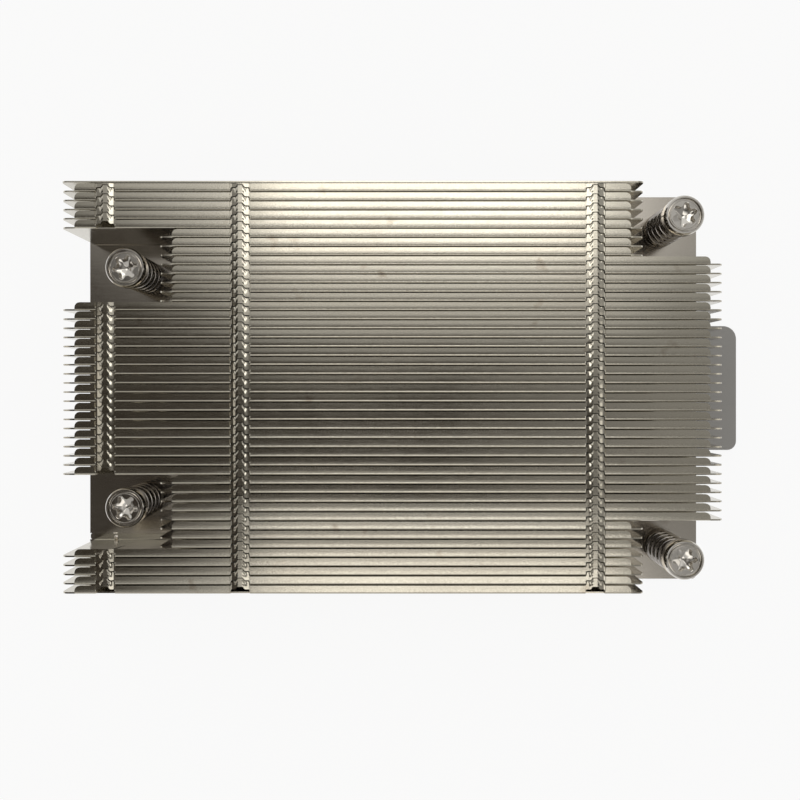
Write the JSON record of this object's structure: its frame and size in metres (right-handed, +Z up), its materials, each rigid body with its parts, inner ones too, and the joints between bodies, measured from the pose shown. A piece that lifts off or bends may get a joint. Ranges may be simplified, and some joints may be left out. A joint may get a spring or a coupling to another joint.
{
  "type": "passive server cpu heatsink",
  "caption": "Low passive heatsink for a server processor: folded fins zipped together on a flat base plate, with spring-loaded captive screws in notches at the corners.",
  "frame": {"origin": "middle of the base plate, on the plane of the contact pad's underside", "axes": "+X along the fins, towards the end with the pull tab; +Y across the fins, the way their flanges point; +Z up, from the base plate to the fins"},
  "size_m": [0.145, 0.085, 0.0261],
  "materials": {
    "fins": "satin",
    "base_plate": "satin",
    "pull_tab": "matte",
    "screws": "nickel plated",
    "springs": "polished",
    "retaining_clips": "satin"
  },
  "bodies": {
    "sink": {"base_plate": "base_plate", "pull_tab": "pull_tab", "fin_01": "fins", "fin_02": "fins", "fin_03": "fins", "fin_04": "fins", "fin_05": "fins", "fin_06": "fins", "fin_07": "fins", "fin_08": "fins", "fin_09": "fins", "fin_10": "fins", "fin_11": "fins", "fin_12": "fins", "fin_13": "fins", "fin_14": "fins", "fin_15": "fins", "fin_16": "fins", "fin_17": "fins", "fin_18": "fins", "fin_19": "fins", "fin_20": "fins", "fin_21": "fins", "fin_22": "fins", "fin_23": "fins", "fin_24": "fins", "fin_25": "fins", "fin_26": "fins", "fin_27": "fins", "fin_28": "fins", "fin_29": "fins", "fin_30": "fins", "fin_31": "fins", "fin_32": "fins", "fin_33": "fins", "fin_34": "fins", "fin_35": "fins", "fin_36": "fins", "fin_37": "fins", "fin_38": "fins", "fin_39": "fins", "fin_40": "fins", "fin_41": "fins", "fin_42": "fins", "fin_43": "fins", "fin_44": "fins", "fin_45": "fins", "fin_46": "fins", "spring_rear_left": "springs", "spring_front_left": "springs", "spring_rear_right": "springs", "spring_front_right": "springs"},
    "clip_rear_left": {"retaining_clip_rear_left": "retaining_clips"},
    "screw_rear_left": {"screw_rear_left": "screws"},
    "clip_front_left": {"retaining_clip_front_left": "retaining_clips"},
    "screw_front_left": {"screw_front_left": "screws"},
    "clip_rear_right": {"retaining_clip_rear_right": "retaining_clips"},
    "screw_rear_right": {"screw_rear_right": "screws"},
    "clip_front_right": {"retaining_clip_front_right": "retaining_clips"},
    "screw_front_right": {"screw_front_right": "screws"}
  },
  "joints": [
    {"name": "press_rear_left", "type": "slide", "parent": "sink", "child": "clip_rear_left", "axis": [0, 0, -1], "range_m": [0, 0.004], "stiffness_N_per_m": 400, "springref_m": -0.0025, "deforming": ["spring_rear_left"]},
    {"name": "turn_rear_left", "type": "hinge", "parent": "clip_rear_left", "child": "screw_rear_left", "pos_m": [-0.0546, 0.02453, 0], "axis": [0, 0, 1], "continuous": true},
    {"name": "press_front_left", "type": "slide", "parent": "sink", "child": "clip_front_left", "axis": [0, 0, -1], "range_m": [0, 0.004], "stiffness_N_per_m": 400, "springref_m": -0.0025, "deforming": ["spring_front_left"]},
    {"name": "turn_front_left", "type": "hinge", "parent": "clip_front_left", "child": "screw_front_left", "pos_m": [-0.0546, -0.02453, 0], "axis": [0, 0, 1], "continuous": true},
    {"name": "press_rear_right", "type": "slide", "parent": "sink", "child": "clip_rear_right", "axis": [0, 0, -1], "range_m": [0, 0.004], "stiffness_N_per_m": 400, "springref_m": -0.0025, "deforming": ["spring_rear_right"]},
    {"name": "turn_rear_right", "type": "hinge", "parent": "clip_rear_right", "child": "screw_rear_right", "pos_m": [0.0596, 0.0352, 0], "axis": [0, 0, 1], "continuous": true},
    {"name": "press_front_right", "type": "slide", "parent": "sink", "child": "clip_front_right", "axis": [0, 0, -1], "range_m": [0, 0.004], "stiffness_N_per_m": 400, "springref_m": -0.0025, "deforming": ["spring_front_right"]},
    {"name": "turn_front_right", "type": "hinge", "parent": "clip_front_right", "child": "screw_front_right", "pos_m": [0.0596, -0.0352, 0], "axis": [0, 0, 1], "continuous": true}
  ]
}
